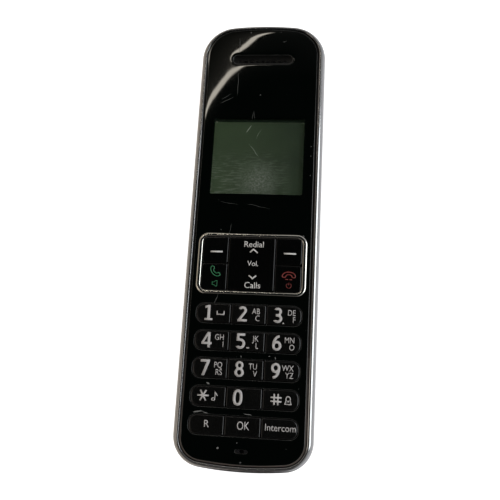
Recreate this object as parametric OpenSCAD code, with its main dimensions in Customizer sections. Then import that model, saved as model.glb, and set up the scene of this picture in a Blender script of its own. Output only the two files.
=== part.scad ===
// Cordless telephone handset, lying on its back.
// X runs across the handset, +Y towards the earpiece end, +Z out of the gloss face.
// The origin is the middle of the footprint, on the surface that the back rests on.

/* [Body] */
// Width across the silver frame
body_w = 46.6; // [46:0.2:50]
// Length from the microphone end to the earpiece end
body_l = 162; // [160:1:170]
// Thickness from the back to the gloss face
body_t = 24; // [24:0.5:27]
// Corner radius at the earpiece end
top_corner_r = 13; // [11:0.5:15]
// Corner radius at the microphone end
bottom_corner_r = 10; // [9.5:0.5:12]
// Radius of the shallow crown of both ends
end_crown_r = 120; // [100:5:200]

/* [Face] */
// Width of the silver rim, seen from the front
rim_w = 2.1; // [1.9:0.1:2.3]
// Groove between the silver rim and the gloss plate
plate_gap = 0.4; // [0.3:0.05:0.6]
// Thickness of the gloss plate
plate_t = 1.6; // [1.4:0.1:1.8]
// Width of the earpiece slot
ear_slot_w = 22.4; // [18:0.2:24]
// Height of the earpiece slot
ear_slot_h = 3.5; // [3:0.1:4]
// Distance of the earpiece slot above the middle
ear_slot_y = 66; // [64:0.5:67]
// Width of the clear display window
window_w = 33.4; // [30:0.2:34]
// Height of the clear display window
window_h = 29.2; // [26:0.2:30]
// Distance of the window's middle above the middle of the body
window_y = 27.6; // [26:0.2:29]

/* [Keys] */
// Width of one row of three number keys
row_w = 35.9; // [34:0.1:36.5]
// Height of a number key
key_h = 6.4; // [6:0.1:6.8]
// Distance from one row to the next
row_pitch = 9.2; // [9:0.1:9.4]
// Height of a key in the lowest row
low_key_h = 6.2; // [5.8:0.1:6.4]
// Gap between neighbouring keys
key_gap = 0.3; // [0.2:0.05:0.4]
// How far the key tops stand above the gloss plate
key_proud = 0.4; // [0.2:0.1:0.6]
// Key travel
key_travel = 0.5; // [0.3:0.1:0.5]

/* [Battery] */
// Diameter of one rechargeable cell
cell_d = 10.3; // [10:0.1:10.5]
// Length of one cell with its nub
cell_l = 44.5; // [44:0.1:44.5]
// Width of the battery door
door_w = 28; // [27:0.5:29]

/* [Hidden] */
$fn = 48;
EPS = 0.02;

half_w = body_w / 2;
half_l = body_l / 2;

// Levels, measured up from the back
floor_t = 3.4;
shell_top = body_t - 9.5;
tongue_top = shell_top + 1.3;
housing_low = body_t - 8;
board_low = body_t - 6.9;
board_top = body_t - 5.9;
dome_top = board_top + 0.35;
mat_low = board_top + 0.6;
mat_top = mat_low + 0.6;
stem_low = dome_top + key_travel + 0.05;
flange_low = mat_top + key_travel + 0.2;
flange_top = flange_low + 0.8;
housing_under = flange_top + 0.1;
plate_low = body_t - plate_t;
key_top = body_t + key_proud;
frame_top = body_t - 0.5;

// Insets from the outline of the body
shell_inset = 0.35;
shell_wall = 2.4;
back_round = 8;
back_round_h = 13;
hollow_round = 6.5;
plate_inset = rim_w + plate_gap;
housing_inset = rim_w + 0.05;
housing_wall = 1.4;
board_inset = 4.2;

// Key layout
row_r = 2.5;
nav_w = 34.7;
nav_h = 18.8;
nav_y = -12.35;
nav_r = 2.2;
nav_core_w = 16.4;
ring_inner_gap = 0.2;
ring_side = 1.5;
ring_bar = 1.2;
ring_proud = 0.45;
aperture_gap = 0.2;
first_row_y = -29.8;
low_row_y = -66.5;
flange_rim = 0.7;
stem_r = 1.3;
key_chamfer = 0.25;
rocker_axis_z = body_t - 3.6;
rocker_flange_top = flange_low + 0.3;
rocker_stem_y = 6;

// Battery bay and door
bay_w = 22.8;
bay_low_y = -62.5;
bay_top_y = -10.5;
bay_wall = 1.4;
bay_floor_z = 12.6;
door_t = 1.6;
door_top_y = -6;
door_play = 0.2;
tongue_w = 0.8;
tongue_z = 0.95;
cell_x = cell_d / 2 + 0.3;
cell_z = door_t + 0.3 + cell_d / 2;
contact_t = 0.4;
stud_h = 1.8;
spring_h = 4.85;

// Screws
screw_r = 1;
screw_head_r = 1.9;
screw_head_h = 1.6;
screw_seat_z = 9;
boss_r = 3;
front_boss_r = 2.3;
boss_top = shell_top - 0.4;
SCREWS = [[15, 51], [-15, 51], [11, -73.2], [-11, -73.2]];

// Inside parts
speaker_y = 58;
speaker_r = 10;
receiver_r = 10;
mic_y = -74.3;
display_glass = [36, 33];
display_tray = [37, 36];
charge_x = 5;
charge_w = 4;
charge_tilt = 11;

// Node name, column counted from the middle, and row counted from the top
NUMBER_KEYS = [
    ["key_1", -1, 0], ["key_2", 0, 0], ["key_3", 1, 0],
    ["key_4", -1, 1], ["key_5", 0, 1], ["key_6", 1, 1],
    ["key_7", -1, 2], ["key_8", 0, 2], ["key_9", 1, 2],
    ["key_star", -1, 3], ["key_0", 0, 3], ["key_hash", 1, 3],
    ["recall_key", -1, 4], ["menu_key", 0, 4], ["intercom_key", 1, 4]
];

// Node name, side across the handset, and 1 for the upper or -1 for the lower one
SIDE_KEYS = [
    ["soft_key_left", -1, 1], ["soft_key_right", 1, 1],
    ["talk_key", -1, -1], ["end_key", 1, -1]
];

// ---------- outlines ----------

function arc(c, r, a0, a1, n) =
    [for (i = [0:n]) let (a = a0 + (a1 - a0) * i / n) [c.x + r * cos(a), c.y + r * sin(a)]];

// Centre of an end's corner arc, for an end that points up
function corner_centre(r) =
    [half_w - r, half_l - end_crown_r + sqrt(pow(end_crown_r - r, 2) - pow(half_w - r, 2))];

// Angle at which that corner arc runs into the crown of the end
function corner_angle(r) =
    atan2(corner_centre(r).y - half_l + end_crown_r, half_w - r);

// One end of the body, from its right side round to its left side
function end_outline(r, inset) =
    let (c = corner_centre(r), a = corner_angle(r))
    concat(
        arc(c, r - inset, 0, a, 7),
        arc([0, half_l - end_crown_r], end_crown_r - inset, a, 180 - a, 6),
        arc([-c.x, c.y], r - inset, 180 - a, 180, 7)
    );

// The body's outline, taken in by inset all round, without doubled points
function body_outline(inset) =
    let (
        top = end_outline(top_corner_r, inset),
        bottom = [for (p = end_outline(bottom_corner_r, inset)) [-p.x, -p.y]],
        all = concat(top, bottom)
    )
    [for (i = [0:len(all) - 1])
        if (norm(all[i] - all[(i + 1) % len(all)]) > 0.001) all[i]];

// A rectangle with its own radius at the left and at the right corners
function soft_rect(x0, x1, y0, y1, rl, rr, inset = 0) =
    let (l = max(rl - inset, 0.05), r = max(rr - inset, 0.05),
         a = x0 + inset, b = x1 - inset, c = y0 + inset, d = y1 - inset)
    concat(
        arc([b - r, c + r], r, -90, 0, 5),
        arc([b - r, d - r], r, 0, 90, 5),
        arc([a + l, d - l], l, 90, 180, 5),
        arc([a + l, c + l], l, 180, 270, 5)
    );

function centred_rect(w, h, y, r) = soft_rect(-w / 2, w / 2, y - h / 2, y + h / 2, r, r);

// ---------- solids from outlines ----------

// A solid through outlines of equal length, each given with its level
module loft(rings) {
    n = len(rings[0][0]);
    last = len(rings) - 1;
    points = [for (ring = rings) each [for (p = ring[0]) [p.x, p.y, ring[1]]]];
    sides = [for (k = [0:last - 1], i = [0:n - 1])
        let (j = (i + 1) % n, a = k * n + i, b = k * n + j)
        each [[a, a + n, b + n], [a, b + n, b]]];
    polyhedron(points, concat(
        [[for (i = [0:n - 1]) i]],
        sides,
        [[for (i = [n - 1:-1:0]) last * n + i]]
    ));
}

// A closed band whose cross-section is a list of insets and levels
module band(section) {
    n = len(body_outline(0));
    m = len(section);
    points = [for (s = section) each [for (p = body_outline(s[0])) [p.x, p.y, s[1]]]];
    polyhedron(points, [for (k = [0:m - 1], i = [0:n - 1])
        let (j = (i + 1) % n, k2 = (k + 1) % m, a = k * n + i, b = k * n + j,
             c = k2 * n + i, d = k2 * n + j)
        each [[a, c, d], [a, d, b]]]);
}

module slab(outline, low, high) {
    translate([0, 0, low]) linear_extrude(high - low) polygon(outline);
}

module rod(x, y, r, low, high) {
    translate([x, y, low]) cylinder(r = r, h = high - low);
}

module block(x0, x1, y0, y1, z0, z1) {
    translate([x0, y0, z0]) cube([x1 - x0, y1 - y0, z1 - z0]);
}

// ---------- body ----------

// Rings of the rounded back, from the flat of the back up to the parting line
function back_rings(extra) =
    [for (a = [0:15:90])
        [body_outline(shell_inset + back_round * (1 - sin(a)) + extra), back_round_h * (1 - cos(a))]];

// Rings of the hollow, from the parting line down to its floor
function hollow_rings() =
    [for (a = [90:-22.5:0])
        [body_outline(shell_inset + shell_wall + hollow_round * (1 - sin(a))),
         floor_t + (back_round_h - floor_t) * (1 - cos(a))]];

module rear_cup() {
    inner = shell_inset + shell_wall;
    loft(concat(
        back_rings(0),
        [[body_outline(shell_inset), shell_top],
         [body_outline(housing_inset), shell_top],
         [body_outline(housing_inset), tongue_top],
         [body_outline(inner), tongue_top]],
        hollow_rings()
    ));
}

// What the door leaves open in the back: its plate and the two grooves beside it
module door_recess() {
    low = -half_l - 1;
    top = door_top_y + door_play;
    x = door_w / 2 + door_play / 2;
    block(-x, x, low, top, -1, door_t + 0.1);
    groove = x + tongue_w;
    block(-groove, groove, low, top, tongue_z - 0.1, door_t + 0.1);
}

module speaker_holes() {
    pitch = 2.4;
    for (i = [-2:2], j = [-2:2])
        if (abs(i + j) <= 2)
            rod((i + j / 2) * pitch, speaker_y + j * pitch * sqrt(3) / 2, 0.65, -1, floor_t + 1);
}

module charge_slots() {
    for (side = [-1, 1])
        translate([side * charge_x - charge_w / 2 - 0.1, -half_l - 1, 4.9])
            cube([charge_w + 0.2, 5.5, 6.2]);
}

module rear_shell() {
    color("#191a1c") difference() {
        union() {
            rear_cup();
            block(-bay_w / 2 - bay_wall, bay_w / 2 + bay_wall,
                  bay_low_y - bay_wall, bay_top_y + bay_wall, floor_t - 1, bay_floor_z + bay_wall);
            for (s = SCREWS) rod(s.x, s.y, boss_r, floor_t - 1, boss_top);
        }
        door_recess();
        block(-bay_w / 2, bay_w / 2, bay_low_y, bay_top_y, -1, bay_floor_z);
        speaker_holes();
        rod(0, speaker_y, speaker_r + 0.3, floor_t - 1.4, floor_t + 1);
        for (s = SCREWS) {
            rod(s.x, s.y, screw_head_r + 0.2, -1, screw_seat_z);
            rod(s.x, s.y, screw_r + 0.2, 1, boss_top + 1);
        }
        charge_slots();
    }
}

module door_grip() {
    for (i = [0:4])
        translate([0, door_top_y - 7 - i * 1.8, 0])
            rotate([0, 90, 0]) cylinder(r = 0.45, h = 14, center = true);
}

module battery_door() {
    tongue = door_w / 2 + tongue_w;
    color("#1c1d1f") difference() {
        intersection() {
            loft(back_rings(0));
            union() {
                block(-door_w / 2, door_w / 2, -half_l, door_top_y, -1, door_t);
                block(-tongue, tongue, -half_l, door_top_y, tongue_z, door_t);
            }
        }
        door_grip();
    }
}

module silver_frame() {
    color("#a7a9ac") band([
        [shell_inset, shell_top], [0.1, shell_top + 0.3], [0, shell_top + 0.9],
        [0, frame_top - 2.9], [0.2, frame_top - 1.7], [0.7, frame_top - 0.7],
        [1.3, frame_top - 0.15], [rim_w - 0.35, frame_top], [rim_w, frame_top - 0.3],
        [rim_w, shell_top]
    ]);
}

// ---------- keypad layout ----------

function row_y(row) = row < 4 ? first_row_y - row * row_pitch : low_row_y;
function row_height(row) = row < 4 ? key_h : low_key_h;

// Left and right edges of a column of three
function column_edges(col) =
    let (third = (row_w - 2 * key_gap) / 3, x = col * (third + key_gap))
    [x - third / 2, x + third / 2];

// Low and high edges of a key beside the rocker
function side_key_span(up) =
    up > 0 ? [nav_y + key_gap / 2, nav_y + nav_h / 2] : [nav_y - nav_h / 2, nav_y - key_gap / 2];

function side_key_edges(side) =
    let (inner = nav_core_w / 2 + key_gap / 2)
    side < 0 ? [-nav_w / 2, -inner] : [inner, nav_w / 2];

// The openings for the key rows, the ring and its keys
module row_openings(low, high) {
    for (row = [0:4])
        slab(centred_rect(row_w + 2 * aperture_gap, row_height(row) + 2 * aperture_gap,
                          row_y(row), row_r + aperture_gap), low, high);
}

function ring_outline(side, bar, r) =
    centred_rect(nav_w + 2 * ring_inner_gap + 2 * side, nav_h + 2 * ring_inner_gap + 2 * bar, nav_y, r);

// ---------- front ----------

module front_housing() {
    wall = housing_inset + housing_wall;
    color("#141416") difference() {
        union() {
            slab(body_outline(housing_inset), housing_under, plate_low);
            difference() {
                slab(body_outline(housing_inset), housing_low, plate_low);
                slab(body_outline(wall), housing_low - 1, plate_low + 1);
            }
            for (s = SCREWS) rod(s.x, s.y, front_boss_r, boss_top + 0.1, plate_low - 0.5);
        }
        row_openings(housing_under - 1, plate_low + 1);
        slab(ring_outline(0, 0, nav_r), housing_under - 1, plate_low + 1);
        slab(centred_rect(display_tray.x + 0.4, display_tray.y + 0.4, window_y, 0.8),
             housing_under - 1, plate_low + 1);
        for (i = [-1:1])
            slab(soft_rect(i * 6 - 2.4, i * 6 + 2.4, ear_slot_y - 0.6, ear_slot_y + 0.6, 0.5, 0.5),
                 housing_under - 1, plate_low + 1);
        rod(0, mic_y, 0.8, housing_under - 1, plate_low + 1);
        for (s = SCREWS) rod(s.x, s.y, screw_r + EPS, boss_top, screw_seat_z + 10);
    }
}

module gloss_plate() {
    color("#060607") difference() {
        loft([[body_outline(plate_inset), plate_low], [body_outline(plate_inset), body_t - 0.6],
              [body_outline(plate_inset + 0.15), body_t - 0.25],
              [body_outline(plate_inset + 0.6), body_t]]);
        row_openings(plate_low - 1, body_t + 1);
        slab(ring_outline(ring_side + 0.05, ring_bar + 0.05, nav_r + ring_bar), plate_low - 1, body_t + 1);
        slab(centred_rect(window_w + 0.04, window_h + 0.04, window_y, 0.8), plate_low - 1, body_t + 1);
        slab(centred_rect(ear_slot_w, ear_slot_h, ear_slot_y, 1.4), plate_low - 1, body_t + 1);
        slab(centred_rect(4.2, 1.3, mic_y, 0.6), plate_low - 1, body_t + 1);
    }
}

module display_window() {
    color("#5f6b60", 0.5) slab(centred_rect(window_w, window_h, window_y, 0.8), plate_low, body_t);
}

module earpiece_grille() {
    h = ear_slot_h - 0.1;
    color("#0d0d0e") difference() {
        slab(centred_rect(ear_slot_w - 0.1, h, ear_slot_y, 1.35), plate_low, body_t - 0.7);
        for (i = [-4:4])
            slab(soft_rect(i * 2.2 - 0.7, i * 2.2 + 0.7, ear_slot_y - 0.4, ear_slot_y + 0.4, 0.35, 0.35),
                 plate_low - 1, body_t);
    }
}

module nav_ring() {
    color("#d6d6d4") difference() {
        loft([[ring_outline(ring_side, ring_bar, nav_r + ring_bar), plate_low],
              [ring_outline(ring_side, ring_bar, nav_r + ring_bar), body_t + 0.2],
              [ring_outline(ring_side - 0.3, ring_bar - 0.3, nav_r + ring_bar - 0.3),
               body_t + ring_proud]]);
        slab(ring_outline(0, 0, nav_r), plate_low - 1, body_t + 1);
    }
}

// ---------- keys ----------

// One key cap: the cap in its opening, the flange under the housing, and the stem over its dome
module key_cap(edges, span, rl, rr, left_rim, right_rim, stems) {
    cap = [for (inset = [0, 0, key_chamfer])
        soft_rect(edges[0], edges[1], span[0], span[1], rl, rr, inset)];
    loft([[cap[0], flange_low], [cap[1], key_top - key_chamfer], [cap[2], key_top]]);
    slab(soft_rect(edges[0] - left_rim, edges[1] + right_rim,
                   span[0] - flange_rim, span[1] + flange_rim, 0.4, 0.4), flange_low, flange_top);
    for (s = stems) rod(s.x, s.y, stem_r, stem_low, flange_low + 0.4);
}

module number_key(key) {
    edges = column_edges(key[1]);
    y = row_y(key[2]);
    h = row_height(key[2]);
    sharp = 0.3;
    color(key[2] < 4 ? "#17181a" : "#1a1a1c") key_cap(
        edges, [y - h / 2, y + h / 2],
        key[1] < 0 ? row_r : sharp, key[1] > 0 ? row_r : sharp,
        key[1] < 0 ? flange_rim : 0, key[1] > 0 ? flange_rim : 0,
        [[(edges[0] + edges[1]) / 2, y]]
    );
}

// Only the outer corner of each of these follows the ring, so the flange stops short of its mate
module side_key(key) {
    edges = side_key_edges(key[1]);
    span = side_key_span(key[2]);
    outer = key[1] < 0 ? edges[0] : edges[1];
    middle = [(edges[0] + edges[1]) / 2, (span[0] + span[1]) / 2];
    far_y = key[2] > 0 ? span[1] : span[0];
    near_y = key[2] > 0 ? span[0] : span[1];
    color("#111214") {
        intersection() {
            loft([[ring_outline(-ring_inner_gap, -ring_inner_gap, nav_r), flange_low],
                  [ring_outline(-ring_inner_gap, -ring_inner_gap, nav_r), key_top - key_chamfer],
                  [ring_outline(-ring_inner_gap - key_chamfer, -ring_inner_gap - key_chamfer,
                                nav_r - key_chamfer), key_top]]);
            block(edges[0], edges[1], span[0], span[1], flange_low, key_top + 1);
        }
        block(min(middle.x, outer + key[1] * flange_rim), max(middle.x, outer + key[1] * flange_rim),
              min(near_y, far_y + key[2] * flange_rim), max(near_y, far_y + key[2] * flange_rim),
              flange_low, flange_top);
        rod(middle.x, middle.y, stem_r, stem_low, flange_low + 0.4);
    }
}

module nav_rocker() {
    x = nav_core_w / 2 - key_gap / 2;
    y0 = nav_y - nav_h / 2 + 0.1;
    y1 = nav_y + nav_h / 2 - 0.1;
    cap = [for (inset = [0, 0, key_chamfer]) soft_rect(-x, x, y0, y1, 0.3, 0.3, inset)];
    color("#0c0d0e") {
        loft([[cap[0], flange_low], [cap[1], key_top - key_chamfer], [cap[2], key_top]]);
        slab(soft_rect(-x, x, y0 - flange_rim, y1 + flange_rim, 0.4, 0.4), flange_low, rocker_flange_top);
        for (side = [-1, 1])
            rod(0, nav_y + side * rocker_stem_y, stem_r, stem_low + 0.1, flange_low + 0.4);
        translate([0, nav_y, rocker_axis_z]) rotate([0, 90, 0])
            cylinder(r = 0.8, h = 2 * x - 1, center = true);
    }
}

// ---------- keypad mat, domes and board ----------

// Every place where a stem presses a dome
function stem_places() = concat(
    [for (key = NUMBER_KEYS) let (e = column_edges(key[1])) [(e[0] + e[1]) / 2, row_y(key[2])]],
    [for (key = SIDE_KEYS)
        let (e = side_key_edges(key[1]), s = side_key_span(key[2])) [(e[0] + e[1]) / 2, (s[0] + s[1]) / 2]],
    [for (side = [-1, 1]) [0, nav_y + side * rocker_stem_y]]
);

module keypad_mat() {
    outer = soft_rect(-18.6, 18.6, -70.6, -0.6, 3, 3);
    inner = soft_rect(-17.4, 17.4, -69.4, -1.8, 2, 2);
    color("#8d9094") difference() {
        slab(outer, board_top, mat_top);
        slab(inner, board_top - 1, mat_low);
        for (p = stem_places()) rod(p.x, p.y, stem_r + 0.4, mat_low - 1, mat_top + 1);
    }
}

module snap_domes() {
    color("#c9ccd0") for (p = stem_places())
        translate([p.x, p.y, board_top]) cylinder(r1 = 2.2, r2 = 1.1, h = dome_top - board_top);
}

module main_board() {
    color("#1f5a36") difference() {
        intersection() {
            slab(body_outline(board_inset), board_low, board_top);
            block(-half_w, half_w, -half_l, 47, 0, body_t);
        }
        for (s = SCREWS) rod(s.x, s.y, front_boss_r + 0.4, board_low - 1, board_top + 1);
    }
}

module board_chips() {
    color("#202124") {
        block(-6, 4, 4, 14, board_low - 1.4, board_low);
        block(-12, -7.5, 20, 24, board_low - 1.1, board_low);
        block(6, 13, 18, 26, board_low - 1.6, board_low);
        block(7.5, 11.5, -3, 2, board_low - 1, board_low);
        block(-15, -11.5, -4, 6, board_low - 0.9, board_low);
    }
    color("#e8e6dc") block(-7, 7, 1, 4.6, board_top, board_top + 1);
}

module radio_shield() {
    color("#b9bcc0") difference() {
        block(-12, 12, -50, -20, board_low - 2.5, board_low);
        block(-11.7, 11.7, -49.7, -20.3, board_low - 2.2, board_low + 1);
        for (i = [-2:2], j = [-2:2])
            rod(i * 4.4, -35 + j * 5.4, 0.7, board_low - 3, board_low - 2);
    }
}

module antenna() {
    z = board_low - 4;
    color("#c8a457") {
        block(-16, 12, 36, 40, z, z + 0.4);
        block(-16, -12, 40, 45, z, z + 0.4);
        block(-16, -14.5, 36, 36.4, z + 0.4, board_low);
        block(-12.5, -11, 36, 36.4, z + 0.4, board_low);
    }
}

// ---------- display ----------

module lcd_glass() {
    color("#55604f") slab(centred_rect(display_glass.x, display_glass.y, window_y, 0.3),
                          plate_low - 2.2, plate_low - 0.3);
}

module lcd_backlight() {
    color("#e9ebe6") difference() {
        slab(centred_rect(display_tray.x, display_tray.y, window_y, 0.5), board_top, plate_low - 1.4);
        slab(centred_rect(display_glass.x + 0.1, display_glass.y + 0.1, window_y, 0.3),
             plate_low - 2.2, plate_low);
    }
}

module lcd_ribbon() {
    edge = window_y - display_tray.y / 2;
    color("#b5712a") {
        block(-6, 6, edge - 3, edge - 0.05, board_top + 1.6, board_top + 1.8);
        block(-6, 6, edge - 3.2, edge - 3, board_top + 1.1, board_top + 1.8);
        block(-6, 6, edge - 6.5, edge - 3, board_top + 1.02, board_top + 1.22);
    }
}

module display_gasket() {
    color("#26272a") difference() {
        slab(centred_rect(display_glass.x, display_glass.y, window_y, 0.5), plate_low - 0.3, plate_low);
        slab(centred_rect(window_w + 0.6, window_h + 0.6, window_y, 0.5), plate_low - 1, plate_low + 1);
    }
}

// ---------- sound ----------

module receiver() {
    color("#2b2c30") {
        rod(0, ear_slot_y, receiver_r, housing_under - 3.2, housing_under - 0.8);
        rod(0, ear_slot_y, 6.5, housing_under - 4, housing_under - 3);
    }
}

module receiver_gasket() {
    color("#3a3b3e") difference() {
        rod(0, ear_slot_y, receiver_r, housing_under - 0.8, housing_under);
        rod(0, ear_slot_y, receiver_r - 1.6, housing_under - 1, housing_under + 1);
    }
}

module loudspeaker() {
    low = floor_t - 0.8;
    color("#303136") {
        rod(0, speaker_y, speaker_r, low, low + 3);
        rod(0, speaker_y, 6, low + 2.9, low + 5);
    }
}

module loudspeaker_gasket() {
    low = floor_t - 1.4;
    color("#3a3b3e") difference() {
        rod(0, speaker_y, speaker_r, low, low + 0.6);
        rod(0, speaker_y, speaker_r - 1.8, low - 1, low + 1);
    }
}

module microphone() {
    color("#c9ccd0") rod(0, mic_y, 1.9, board_top, housing_under - 1);
}

module microphone_boot() {
    color("#222326") difference() {
        rod(0, mic_y, 2.45, board_top, housing_under);
        rod(0, mic_y, 1.95, board_top - 1, housing_under - 0.95);
        rod(0, mic_y, 0.8, board_top, housing_under + 1);
    }
}

// ---------- power ----------

// A cell that lies along Y, with its nub towards +Y
module cell() {
    can_l = cell_l - 1;
    rotate([-90, 0, 0]) {
        cylinder(r = cell_d / 2, h = can_l);
        translate([0, 0, can_l - 0.2]) cylinder(r = 1.9, h = 1.2);
    }
}

module battery_cell_left() {
    color("#4f8f5b") translate([-cell_x, bay_low_y + contact_t + spring_h + 0.05, cell_z]) cell();
}

module battery_cell_right() {
    color("#4f8f5b") translate([cell_x, bay_top_y - contact_t - spring_h - 0.05, cell_z])
        rotate([0, 0, 180]) cell();
}

// A cone-shaped coil spring along +Y, swept as a small tube
module coil_spring(turns, r0, r1, h) {
    wire = 0.3;
    sides = 6;
    steps = turns * 12;
    rings = [for (i = [0:steps])
        let (a = 360 * i / 12, t = i / steps, r = r0 + (r1 - r0) * t, y = wire + (h - 2 * wire) * t)
        [for (k = [0:sides - 1]) let (b = 360 * k / sides)
            [(r + wire * cos(b)) * cos(a), y + wire * sin(b), (r + wire * cos(b)) * sin(a)]]];
    polyhedron([for (ring = rings) each ring], concat(
        [[for (k = [0:sides - 1]) k]],
        [for (i = [0:steps - 1], k = [0:sides - 1])
            let (a = i * sides + k, b = i * sides + (k + 1) % sides)
            each [[a, a + sides, b + sides], [a, b + sides, b]]],
        [[for (k = [sides - 1:-1:0]) steps * sides + k]]
    ));
}

// A plate across the cells' ends
module end_plate(x0, x1, y0, y1) {
    block(x0, x1, y0, y1, 2.2, 11.6);
}

// The raised stud on a plate that meets a cell's nub, towards +Y or -Y
module nub_stud(x, y, towards) {
    translate([x, y, cell_z]) rotate([-90 * towards, 0, 0]) cylinder(r = 1.6, h = stud_h - 0.05);
}

module cell_bridge_contact() {
    y = bay_low_y + contact_t;
    color("#c3c6ca") {
        end_plate(-10.6, 10.6, bay_low_y, y);
        nub_stud(cell_x, y, 1);
        translate([-cell_x, y + EPS, cell_z]) coil_spring(4, 4.2, 2.6, spring_h - EPS);
    }
}

module cell_end_contacts() {
    y = bay_top_y - contact_t;
    color("#c3c6ca") {
        end_plate(-10.6, -1, y, bay_top_y);
        end_plate(1, 10.6, y, bay_top_y);
        nub_stud(-cell_x, y, -1);
        translate([cell_x, y - EPS, cell_z]) rotate([0, 0, 180])
            coil_spring(4, 4.2, 2.6, spring_h - EPS);
    }
}

module charge_contacts() {
    color("#d9b45a") for (side = [-1, 1]) {
        x0 = side * charge_x - charge_w / 2;
        translate([x0, -half_l + 2.1, 5.1]) rotate([charge_tilt, 0, 0]) cube([charge_w, 0.5, 5.9]);
        block(x0, x0 + charge_w, -half_l + 1.2, -half_l + 5.4, 10.3, 10.8);
        block(x0, x0 + charge_w, -half_l + 4.9, -half_l + 5.4, 10.3, board_low);
    }
}

module case_screws() {
    color("#8f9296") for (s = SCREWS) difference() {
        union() {
            rod(s.x, s.y, screw_head_r, screw_seat_z - screw_head_h, screw_seat_z);
            rod(s.x, s.y, screw_r, screw_seat_z - 0.1, screw_seat_z + 9);
        }
        for (a = [0, 90]) translate([s.x, s.y, screw_seat_z - screw_head_h])
            rotate([0, 0, a]) cube([2.2, 0.5, 1.4], center = true);
    }
}

rear_shell();
battery_door();
silver_frame();
front_housing();
gloss_plate();
display_window();
earpiece_grille();
nav_ring();
nav_rocker();
for (key = SIDE_KEYS) side_key(key);
for (key = NUMBER_KEYS) number_key(key);
keypad_mat();
snap_domes();
main_board();
board_chips();
radio_shield();
antenna();
lcd_glass();
lcd_backlight();
lcd_ribbon();
display_gasket();
receiver();
receiver_gasket();
loudspeaker();
loudspeaker_gasket();
microphone();
microphone_boot();
battery_cell_left();
battery_cell_right();
cell_bridge_contact();
cell_end_contacts();
charge_contacts();
case_screws();
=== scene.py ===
"""Cordless telephone handset, lying on its back with its face up.

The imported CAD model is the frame. Lengths below are in millimetres until a mesh is made.
"""

import math

import bpy
import numpy as np
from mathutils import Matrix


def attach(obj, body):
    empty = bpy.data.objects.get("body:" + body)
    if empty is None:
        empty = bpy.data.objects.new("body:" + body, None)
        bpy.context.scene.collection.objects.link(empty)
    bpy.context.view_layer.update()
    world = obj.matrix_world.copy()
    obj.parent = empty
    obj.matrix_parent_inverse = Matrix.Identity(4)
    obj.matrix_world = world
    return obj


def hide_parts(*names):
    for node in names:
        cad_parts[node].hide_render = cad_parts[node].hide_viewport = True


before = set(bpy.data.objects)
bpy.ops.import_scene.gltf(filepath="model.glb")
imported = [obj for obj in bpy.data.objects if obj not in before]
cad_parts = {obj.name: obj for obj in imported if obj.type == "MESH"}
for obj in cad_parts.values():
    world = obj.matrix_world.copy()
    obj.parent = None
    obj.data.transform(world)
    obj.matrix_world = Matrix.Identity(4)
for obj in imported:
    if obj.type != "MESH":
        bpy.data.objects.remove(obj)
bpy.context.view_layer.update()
scene = bpy.context.scene

# ----------------------------------------
# Camera: above the face, a little to the right and towards the microphone end.
def put(name, data):
    """New object in the scene."""
    thing = bpy.data.objects.new(name, data)
    scene.collection.objects.link(thing)
    return thing


eye = bpy.data.cameras.new("camera")
eye.sensor_width = 36.0
eye.lens = 43.205
eye.clip_start = 0.01
camera = put("camera", eye)
camera.location = (0.021575, -0.053712, 0.226096)
camera.rotation_euler = (0.229506, 0.097343, 0.054808)
scene.camera = camera
scene.view_settings.view_transform = "Standard"

# ----------------------------------------
# Back shell: one moulding of black ABS with a fine matt texture. It holds the battery bay, the
# loudspeaker holes, four screw wells and the slots of the charging strips.
MM = 0.001
HALF_W, HALF_L = 23.3, 81.0
CROWN = 120.0
EAR_CORNER, MIC_CORNER = 13.0, 10.0


def arc(cx, cy, r, start, stop, count):
    """Points (cx + r cos a, cy + r sin a) for count angles a from start to stop, in radians."""
    a = np.linspace(start, stop, count)
    return np.column_stack([cx + r * np.cos(a), cy + r * np.sin(a)])


def body_plan(inset=0.0, turn=18, crown=15):
    """Body outline, inset mm inside its widest: at each end a corner arc, a shallow crown of radius
    CROWN - inset that starts where the arc's angle has its normal, and the mirrored corner arc."""

    def end(r):
        cx = HALF_W - r
        cy = HALF_L - CROWN + math.sqrt((CROWN - r) ** 2 - cx**2)
        meet = math.atan2(cy - HALF_L + CROWN, cx)
        right = arc(cx, cy, r - inset, 0, meet, turn)
        left = arc(-cx, cy, r - inset, math.pi - meet, math.pi, turn)
        middle = arc(0, HALF_L - CROWN, CROWN - inset, meet, math.pi - meet, crown)
        return np.vstack([right, middle[1:-1], left])

    return np.vstack([end(EAR_CORNER), -end(MIC_CORNER)])


def soft_plan(x0, x1, y0, y1, left, right, inset=0.0, turn=7):
    """Rectangle with one radius at its two left corners and one at its two right corners, inset mm
    inside; a negative inset grows it. Counter-clockwise from the lower right corner."""
    l, r = max(left - inset, 0.03), max(right - inset, 0.03)
    a, b, c, d = x0 + inset, x1 - inset, y0 + inset, y1 - inset
    q = math.pi / 2
    corners = (b - r, c + r, r), (b - r, d - r, r), (a + l, d - l, l), (a + l, c + l, l)
    return np.vstack([arc(*corner, (k - 1) * q, k * q, turn) for k, corner in enumerate(corners)])


def at(plan, z):
    """A plan lifted to height z, a number or one height per point."""
    return np.column_stack([plan, np.broadcast_to(z, len(plan))])


def skin(rings, loop=False, low=True, high=True):
    """Quads between rings of equal length, point i to point i: rings climb on an outer wall, and run
    inwards over a top. Ends are closed by a face each, or the last ring joins the first (loop)."""
    m, n = len(rings), len(rings[0])
    k = np.arange(m if loop else m - 1)[:, None] * n
    up = (k + n) % (m * n)
    i = np.arange(n)[None, :]
    j = (i + 1) % n
    faces = np.stack([k + i, k + j, up + j, up + i], -1).reshape(-1, 4).tolist()
    if not loop and low:
        faces.append(list(range(n))[::-1])
    if not loop and high:
        faces.append([(m - 1) * n + q for q in range(n)])
    return np.concatenate(rings), faces


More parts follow.
